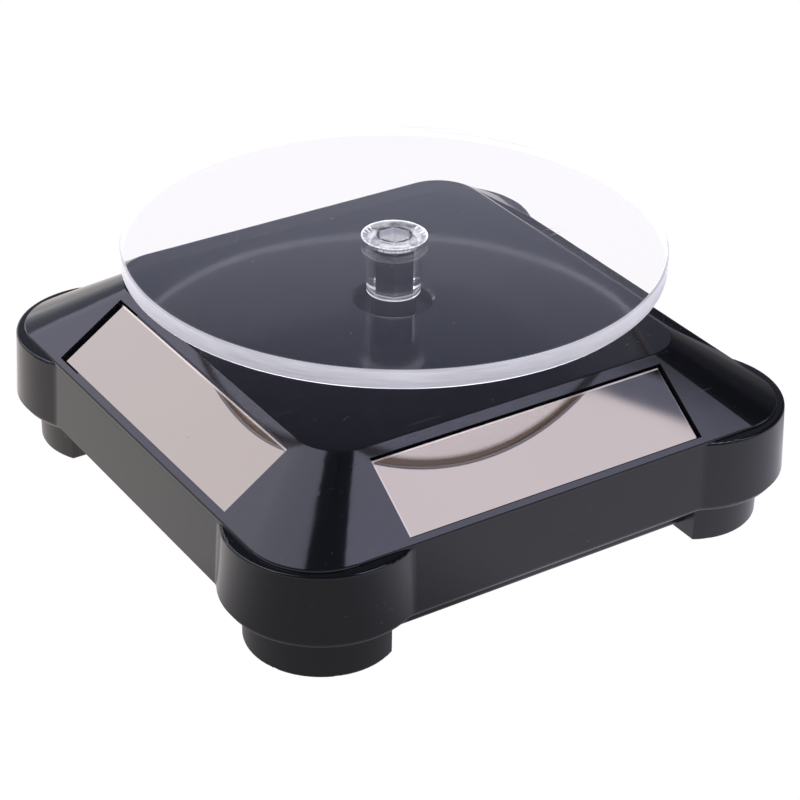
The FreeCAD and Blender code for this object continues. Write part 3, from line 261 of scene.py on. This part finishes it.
def clear_disc(name):
    """Cut acrylic sheet: polished faces with light wear, and a sawn rim with a painted glow (emission).

    The painted glow is stronger seen from within; mirrored in the panels the rim gets a painted dark brown
    colour instead.
    """
    def build(tree):
        z = tree.axes()[2]
        radius = tree.radius()
        rim = tree.remap(radius, disc_radius - RIM_DEPTH[0], disc_radius - RIM_DEPTH[1])
        saw = tree.noise(1.0, 2, vector=tree.add("ShaderNodeMapping", {
            "Vector": tree.place(), "Scale": (160, 160, 2600)}).outputs[0])
        wear = tree.noise(120, 3)
        dust = tree.math("MULTIPLY", tree.specks(420, 0.055), tree.remap(wear, 0.52, 0.62))
        line = tree.noise(1.0, 1, vector=tree.add("ShaderNodeMapping", {
            "Vector": tree.place(), "Rotation": (0.0, 0.0, 0.6), "Scale": (30, 2400, 60)}).outputs[0])
        scratch = tree.remap(line, 0.755, 0.80, 0.0, 0.10)
        face_rough = tree.math("ADD", tree.math("MULTIPLY", dust, 0.4), scratch)
        middle = tree.remap(z, disc_low.z, disc_high.z, 0.85, 1.15)
        # Painted glow on the rim, varied by saw-mark noise and by height.
        outer_painted_glow = tree.math("MULTIPLY", tree.remap(saw, 0.3, 0.7, 0.45, 0.57), middle)
        inside = tree.add("ShaderNodeNewGeometry").outputs["Backfacing"]
        painted_glow = tree.math("ADD", outer_painted_glow, tree.math("MULTIPLY", inside, PAINTED_INNER_RIM_GLOW))
        path = tree.add("ShaderNodeLightPath").outputs
        # Painted dark reflection: glossy rays that have not passed through the disc see a dark brown band at
        # the rim, and no glow.
        mirrored = tree.math("MULTIPLY", path["Is Glossy Ray"],
                             tree.remap(path["Transmission Depth"], 0.4, 0.6, 1.0, 0.0))
        painted_reflection_rim = tree.remap(radius, disc_radius - PAINTED_REFLECTION_RIM_DEPTH[0], disc_radius - PAINTED_REFLECTION_RIM_DEPTH[1])
        band = tree.math("MULTIPLY", mirrored, painted_reflection_rim)
        painted_glow = tree.math("MULTIPLY", painted_glow, tree.math("SUBTRACT", 1.0, mirrored))
        clear = tree.mix(rim, rgb(0.992, 0.985, 0.995), rgb(0.95, 0.95, 0.985))
        return {
            # Painted dark reflection colour on the rim band.
            "Base Color": tree.mix(band, clear, rgb(0.05, 0.035, 0.03)),
            "Roughness": tree.math("ADD", face_rough, tree.math("MULTIPLY", rim, 0.36)),
            "Normal": tree.bump(tree.noise(140, 1), 0.000004),
            # Painted glow: the rim emits light though it is no lamp.
            "Emission Color": rgb(0.90, 0.89, 1.0),
            "Emission Strength": tree.math("MULTIPLY", rim, painted_glow),
        }
    return clear_plastic(name, {"IOR": 1.49}, build)


# Painted shade: radii where the clear bore is coloured dark grey.
PAINTED_BORE_SHADE_RADII = (3.1 * MM, 2.9 * MM)
HUB_FACE = (2.9 * MM, 3.2 * MM)
HUB_FLANGE_EDGE = (5.2 * MM, 5.45 * MM)


def clear_hub(name):
    """Clear moulding: glassy tube with painted grey shade in its bore, and a flow-marked flange with painted
    glow (emission) on the top face, the flange's outer edge and the foot.
    """
    low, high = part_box("drive_hub")

    def build(tree):
        z = tree.axes()[2]
        radius = tree.radius()
        flow = tree.noise(260, 2)
        facet = tree.noise(420, 1)
        # Painted glow on the top face, the flange edge and the foot: emission, though the hub is no lamp.
        top = tree.math("MULTIPLY", tree.remap(z, high.z - 0.4 * MM, high.z - 0.15 * MM),
                        tree.remap(radius, *HUB_FACE))
        edge = tree.math("MULTIPLY", tree.remap(z, high.z - 1.2 * MM, high.z - 0.5 * MM),
                         tree.remap(radius, *HUB_FLANGE_EDGE))
        painted_glow_foot = tree.remap(z, low.z + 0.35 * MM, low.z + 0.15 * MM)
        top_painted_glow = tree.math("MULTIPLY", top, tree.remap(facet, 0.35, 0.65, 0.08, 0.48))
        side_painted_glow = tree.math("ADD", tree.math("MULTIPLY", edge, 0.35), tree.math("MULTIPLY", painted_glow_foot, 0.45))
        painted_glow = tree.math("ADD", top_painted_glow, side_painted_glow)
        # Painted shade: the clear hub's bore is coloured dark grey, standing in for the dark seen down the
        # hole.
        painted_bore_shade = tree.math("MULTIPLY", tree.remap(radius, *PAINTED_BORE_SHADE_RADII),
                         tree.remap(z, low.z + 1.0 * MM, low.z + 3.0 * MM))
        relief = tree.math("MULTIPLY", facet, tree.remap(top, 0.0, 1.0, 0.15, 1.0))
        return {
            "Base Color": tree.mix(painted_bore_shade, rgb(0.985, 0.985, 0.995), rgb(0.09, 0.09, 0.10)),
            "Roughness": tree.math("ADD", tree.remap(flow, 0.3, 0.7, 0.0, 0.03),
                                   tree.math("MULTIPLY", top, 0.08)),
            "Normal": tree.bump(relief, 0.00012),
            # Painted glow colour.
            "Emission Color": rgb(0.92, 0.92, 1.0),
            "Emission Strength": painted_glow,
        }
    return clear_plastic(name, {"IOR": 1.59}, build)


# ---------------------------------------------------------------- inner parts
def satin_plastic(name, light, dark, roughness):
    """Plain moulded plastic with a cloudy tone and a fine skin."""
    def build(tree):
        cloud = tree.noise(150, 4)
        return {
            "Base Color": tree.mix(cloud, rgb(*light), rgb(*dark)),
            "Roughness": tree.remap(cloud, 0.3, 0.7, roughness, roughness + 0.12),
            "Normal": tree.bump(tree.noise(1800, 2), 0.000008),
        }
    return surface(name, {"IOR": 1.49}, build)


def turned_metal(name, light, dark, roughness, pitch):
    """Metal with fine turning rings about its own height, and slight tarnish."""
    def build(tree):
        height = tree.axes()[2]
        ring = tree.math("SINE", tree.math("MULTIPLY", height, 2 * math.pi / pitch))
        tarnish = tree.noise(240, 4)
        return {
            "Base Color": tree.mix(tarnish, rgb(*light), rgb(*dark)),
            "Roughness": tree.remap(tarnish, 0.3, 0.7, roughness, roughness + 0.15),
            "Normal": tree.bump(ring, 0.000003),
        }
    return surface(name, {"Metallic": 1.0}, build)


def laminated_rotor(name):
    """Stacked steel sheets, seen as fine level lines."""
    def build(tree):
        height = tree.axes()[2]
        sheet = tree.math("FRACT", tree.math("MULTIPLY", height, 1 / (0.5 * MM)))
        line = tree.remap(sheet, 0.06, 0.0)
        tone = tree.mix(tree.noise(300, 3), rgb(0.42, 0.40, 0.38), rgb(0.34, 0.31, 0.28))
        return {
            "Base Color": tree.mix(line, tone, rgb(0.06, 0.05, 0.04)),
            "Roughness": tree.remap(line, 0, 1, 0.35, 0.6),
            "Normal": tree.bump(line, -0.00003),
        }
    return surface(name, {"Metallic": 0.9}, build)


def cell_jacket(name):
    """Printed foil round the cell: a band at each end, with no lettering."""
    low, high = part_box("battery_cell")
    wear_scale = 40 / (high.x - low.x)

    def build(tree):
        share = tree.remap(tree.axes()[0], low.x, high.x)
        band = tree.math("ADD", tree.remap(share, 0.80, 0.803), tree.remap(share, 0.045, 0.042),
                         clamp=True)
        metal = tree.math("ADD", tree.remap(share, 0.975, 0.978), tree.remap(share, 0.008, 0.006),
                          clamp=True)
        tone = tree.mix(band, rgb(0.035, 0.06, 0.10), rgb(0.55, 0.38, 0.12))
        wear = tree.remap(tree.noise(wear_scale, 3), 0.4, 0.7, 0, 0.2)
        tone = tree.mix(wear, tone, rgb(0.2, 0.2, 0.2))
        return {
            "Base Color": tree.mix(metal, tone, rgb(0.6, 0.6, 0.58)),
            "Roughness": tree.remap(tree.noise(500), 0.3, 0.7, 0.22, 0.34),
            "Metallic": tree.remap(metal, 0, 1, 0.35, 1.0),
        }
    return surface(name, {}, build)


def circuit_green(name):
    """Solder mask over copper: tracks show as a faint lighter grid, pads as bright dots."""
    pitch = 2.54 * MM

    def build(tree):
        x, y = tree.axes()[:2]

        def lines(axis):
            share = tree.math("FRACT", tree.math("DIVIDE", axis, pitch))
            return tree.remap(tree.math("ABSOLUTE", tree.math("SUBTRACT", share, 0.5)), 0.10, 0.07)
        track = tree.math("MULTIPLY", tree.math("MAXIMUM", lines(x), lines(y)),
                          tree.remap(tree.noise(180, 1), 0.48, 0.52))
        pad = tree.math("MULTIPLY", tree.math("MULTIPLY", lines(x), lines(y)),
                        tree.remap(tree.noise(260, 1), 0.5, 0.52))
        tone = tree.mix(track, rgb(0.012, 0.07, 0.03), rgb(0.02, 0.13, 0.05))
        return {
            "Base Color": tree.mix(pad, tone, rgb(0.6, 0.58, 0.52)),
            "Metallic": pad,
            "Roughness": tree.remap(tree.noise(700), 0.3, 0.7, 0.25, 0.4),
            "Normal": tree.bump(track, 0.00003),
        }
    return surface(name, {}, build)


def rough_ferrite(name):
    """Dark pressed ferrite with a coarse grain."""
    def build(tree):
        grain = tree.noise(900, 5, 0.7)
        return {
            "Base Color": tree.mix(grain, rgb(0.05, 0.05, 0.052), rgb(0.14, 0.14, 0.145)),
            "Roughness": tree.remap(grain, 0.3, 0.7, 0.6, 0.85),
            "Normal": tree.bump(grain, 0.00004),
        }
    return surface(name, {}, build)


def diode_glass(name):
    """Small glass body with a dark band and bright leads."""
    low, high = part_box("blocking_diode")

    def build(tree):
        share = tree.remap(tree.axes()[0], low.x, high.x)
        body = tree.math("MULTIPLY", tree.remap(share, 0.3, 0.31), tree.remap(share, 0.7, 0.69))
        band = tree.math("MULTIPLY", tree.remap(share, 0.6, 0.61), tree.remap(share, 0.66, 0.65))
        tone = tree.mix(body, rgb(0.62, 0.61, 0.58), rgb(0.5, 0.16, 0.05))
        return {
            "Base Color": tree.mix(band, tone, rgb(0.02, 0.02, 0.02)),
            "Metallic": tree.remap(body, 0, 1, 1.0, 0.0),
            "Roughness": tree.remap(tree.noise(2000), 0.3, 0.7, 0.1, 0.25),
        }
    return surface(name, {}, build)


MATERIALS = {
    "housing_black": moulded_black("housing_black", (0.010, 0.0105, 0.012), 0.10, 0.0000008),
    "cover_black": etched_black("cover_black"),
    "solar_cell": solar_glass("solar_cell"),
    "clear_disc": clear_disc("clear_disc"),
    "clear_hub": clear_hub("clear_hub"),
    "spindle_plastic": satin_plastic("spindle_plastic", (0.02, 0.02, 0.022), (0.012, 0.012, 0.014), 0.3),
    "brass_bush": turned_metal("brass_bush", (0.72, 0.52, 0.24), (0.55, 0.38, 0.16), 0.25, 0.2 * MM),
    "gear_plastic": satin_plastic("gear_plastic", (0.80, 0.79, 0.74), (0.72, 0.71, 0.65), 0.38),
    "brass_pinion": turned_metal("brass_pinion", (0.74, 0.55, 0.25), (0.6, 0.42, 0.18), 0.22, 0.15 * MM),
    "bright_steel": turned_metal("bright_steel", (0.62, 0.62, 0.64), (0.5, 0.49, 0.47), 0.22, 0.25 * MM),
    "gearbox_plastic": satin_plastic("gearbox_plastic", (0.05, 0.05, 0.055), (0.035, 0.035, 0.04), 0.4),
    "motor_steel": turned_metal("motor_steel", (0.58, 0.58, 0.6), (0.48, 0.47, 0.46), 0.3, 0.6 * MM),
    "cap_plastic": satin_plastic("cap_plastic", (0.72, 0.70, 0.64), (0.63, 0.60, 0.53), 0.42),
    "magnet_grey": rough_ferrite("magnet_grey"),
    "rotor_steel": laminated_rotor("rotor_steel"),
    "cell_jacket": cell_jacket("cell_jacket"),
    "nickel_contact": turned_metal("nickel_contact", (0.68, 0.66, 0.62), (0.58, 0.55, 0.5), 0.2, 0.3 * MM),
    "board_green": circuit_green("board_green"),
    "diode_glass": diode_glass("diode_glass"),
}

for name, item in nodes.items():
    for index in range(len(item.material_slots)):
        item.material_slots[index].material = MATERIALS[slots[name]]


# ---------------------------------------------------------------- stage: floor, lights and sky
def level_shape(name, outline, height, material, faces_up):
    """A level polygon, given by its corners anticlockwise as seen from above."""
    order = range(len(outline))
    mesh = bpy.data.meshes.new(name)
    face = tuple(order if faces_up else reversed(order))
    mesh.from_pydata([(x, y, height) for x, y in outline], [], [face])
    mesh.materials.append(material)
    item = bpy.data.objects.new(name, mesh)
    scene.collection.objects.link(item)
    return item


def one_sided(material, tree, shader):
    """Show a shader on a face's front only; its back is clear."""
    clear = tree.add("ShaderNodeBsdfTransparent")
    back = tree.add("ShaderNodeNewGeometry").outputs["Backfacing"]
    mix = tree.add("ShaderNodeMixShader", {0: back, 1: shader.outputs[0], 2: clear.outputs[0]})
    output = tree.add("ShaderNodeOutputMaterial")
    tree.tree.links.new(mix.outputs[0], output.inputs["Surface"])
    return material


LIGHT_HEIGHT = 0.85


def glowing(name, colour, strength, fade=None):
    """A lamp's face.  Its fade is described with softbox()."""
    material = bpy.data.materials.new(name)
    material.use_nodes = True
    tree = Tree(material.node_tree)
    if fade:
        (from_x, from_y), azimuth, width = fade
        turn = math.radians(azimuth)
        x, y = tree.axes()[:2]
        edge = (from_x * math.sin(turn) + from_y * math.cos(turn)) * LIGHT_HEIGHT
        strength = tree.remap(along(tree, x, y, turn), edge, edge - width * LIGHT_HEIGHT, 0.0, strength,
                              smooth=True)
    shader = tree.add("ShaderNodeEmission", {"Color": rgb(*colour), "Strength": strength})
    return one_sided(material, tree, shader)


# The room as the glossy parts see it, by the side it lies on: pale warm floor to the left,
# cooler on the right, dim near the camera and dark towards the back right.
CAMERA_AZIMUTH = -33.465
DARK_AZIMUTH = 80
COOL_AZIMUTH = 147
DIM_AZIMUTH = 188 - CAMERA_AZIMUTH
BACK_GLOW_AZIMUTH = -4

FLOOR_SEEN = 1.02
FLOOR_THROUGH_DISC = 1.12
FLOOR_SPAN = 8.0
FLOOR_GAP = 0.05 * MM


def room_flag(tree, x, y):
    """Share of light left by the dark side at the back right."""
    return tree.remap(towards(tree, x, y, DARK_AZIMUTH), 0.75, 0.93, 1.0, 0.15, smooth=True)


def white_floor():
    """Plain white to the camera and through the disc; other rays see the room's tints."""
    material = bpy.data.materials.new("floor_white")
    material.use_nodes = True
    tree = Tree(material.node_tree)
    x, y = tree.axes()[:2]
    right = tree.remap(towards(tree, x, y, COOL_AZIMUTH), -0.8, 0.8)
    near = tree.remap(towards(tree, x, y, DIM_AZIMUTH), 0.72, 0.98, 1.0, 0.42, smooth=True)
    tint = tree.mix(right, rgb(1.0, 0.93, 0.92), rgb(0.85, 0.83, 0.95))
    level = tree.math("MULTIPLY", near, room_flag(tree, x, y))
    path = tree.add("ShaderNodeLightPath").outputs
    plain = tree.math("MAXIMUM", path["Is Camera Ray"], path["Is Transmission Ray"])
    colour = tree.mix(plain, tint, rgb(1.0, 0.985, 0.99))
    tinted = tree.math("MULTIPLY", level, tree.math("SUBTRACT", 1.0, plain))
    seen = tree.math("ADD", tree.math("MULTIPLY", path["Is Camera Ray"], FLOOR_SEEN),
                     tree.math("MULTIPLY", path["Is Transmission Ray"], FLOOR_THROUGH_DISC))
    level = tree.math("ADD", tinted, seen)
    return one_sided(material, tree, tree.add("ShaderNodeEmission", {"Color": colour, "Strength": level}))


half_floor = FLOOR_SPAN / 2
square = [(-half_floor, -half_floor), (half_floor, -half_floor),
          (half_floor, half_floor), (-half_floor, half_floor)]
floor = level_shape("floor", square, 0.0, white_floor(), faces_up=True)
floor.location.z = cad_box[0].z - FLOOR_GAP


def softbox(name, outline, colour, strength, fade=None):
    """A level light overhead.  Its corners are shares of its height, so they are also directions.

    A fade (point, azimuth, width) dims the light near the line through the point, square to the azimuth.
    """
    corners = [(x * LIGHT_HEIGHT, y * LIGHT_HEIGHT) for x, y in outline]
    item = level_shape(name, corners, LIGHT_HEIGHT, glowing(name, colour, strength, fade), faces_up=False)
    item.visible_camera = False


softbox("softbox_left", [(-0.90, 0.02), (-0.16, 0.02), (-0.16, 2.1), (-0.90, 2.1)], (0.83, 0.82, 1.04), 2.3)
softbox("softbox_right",
        [(0.22, -0.75), (0.98, -0.75), (0.98, -0.44), (0.60, -0.21), (0.55, -0.12), (0.22, -0.12)],
        (0.80, 0.80, 1.08), 2.65, fade=((0.661, -0.265), 31.6, 0.008))


SKY_TOP = 90.0
SKY_STOPS = [
    (0.0, (1.0, 1.0, 1.0)), (7.0, (0.95, 0.96, 1.0)), (15.0, (0.50, 0.51, 0.60)), (25.0, (0.43, 0.44, 0.56)),
    (29.0, (0.20, 0.21, 0.29)), (32.0, (0.055, 0.06, 0.075)), (SKY_TOP, (0.06, 0.065, 0.085))]


def sky():
    """White near the floor and dark above it, by elevation in degrees."""
    world = bpy.data.worlds.new("studio")
    world.use_nodes = True
    tree = Tree(world.node_tree)
    x, y, up = tree.axes(tree.add("ShaderNodeTexCoord").outputs["Generated"])[:3]
    elevation = tree.math("MULTIPLY", tree.math("ARCSINE", up), 180 / math.pi)
    ramp = tree.add("ShaderNodeValToRGB", {"Fac": tree.remap(elevation, 0, SKY_TOP)})
    band = ramp.color_ramp.elements
    band[0].position = 0.0
    band[0].color = rgb(*SKY_STOPS[0][1])
    band[1].position = 1.0
    band[1].color = rgb(*SKY_STOPS[-1][1])
    for degrees, colour in SKY_STOPS[1:-1]:
        band.new(degrees / SKY_TOP).color = rgb(*colour)
    seen = tree.add("ShaderNodeLightPath").outputs["Is Camera Ray"]
    colour = tree.mix(seen, ramp.outputs["Color"], rgb(1.0, 1.0, 1.0))
    low = tree.remap(up, 0.13, 0.03)
    behind = tree.remap(towards(tree, x, y, BACK_GLOW_AZIMUTH), 0.965, 0.995, 0.0, 1.3, smooth=True)
    level = tree.math("ADD", room_flag(tree, x, y), tree.math("MULTIPLY", low, behind))
    level = tree.math("ADD", seen, tree.math("MULTIPLY", level, tree.math("SUBTRACT", 1.0, seen)))
    background = tree.add("ShaderNodeBackground", {"Color": colour, "Strength": level})
    output = tree.add("ShaderNodeOutputWorld")
    tree.tree.links.new(background.outputs[0], output.inputs["Surface"])
    scene.world = world


sky()
scene.view_settings.view_transform = "Standard"


# ---------------------------------------------------------------- camera
CAMERA_TARGET = Vector((-13.39, -22.91, 28.53)) * MM
CAMERA_DISTANCE = 382.1 * MM
CAMERA_ELEVATION = 30.505
CAMERA_ROLL = 1.111
CAMERA_LENS = 106.66
SENSOR_WIDTH = 36


def camera(target, distance, azimuth, elevation, roll, lens):
    """A camera that looks at the target; azimuth 0 looks along +Y.  Angles are in degrees, lens in mm."""
    turn, lift = math.radians(azimuth), math.radians(elevation)
    back = Vector((math.sin(turn) * math.cos(lift), -math.cos(turn) * math.cos(lift), math.sin(lift)))
    data = bpy.data.cameras.new("camera")
    data.sensor_width = SENSOR_WIDTH
    data.lens = lens
    item = bpy.data.objects.new("camera", data)
    scene.collection.objects.link(item)
    right = (-back).cross(Vector((0, 0, 1))).normalized()
    up = right.cross(-back)
    cosine, sine = math.cos(math.radians(roll)), math.sin(math.radians(roll))
    x_axis, y_axis = cosine * right + sine * up, cosine * up - sine * right
    rotation = Matrix((x_axis, y_axis, back)).transposed()
    item.matrix_world = Matrix.Translation(target + back * distance) @ rotation.to_4x4()
    data.clip_start = distance * 0.05
    data.clip_end = distance * 100
    scene.camera = item


camera(CAMERA_TARGET, CAMERA_DISTANCE, CAMERA_AZIMUTH, CAMERA_ELEVATION, CAMERA_ROLL, CAMERA_LENS)
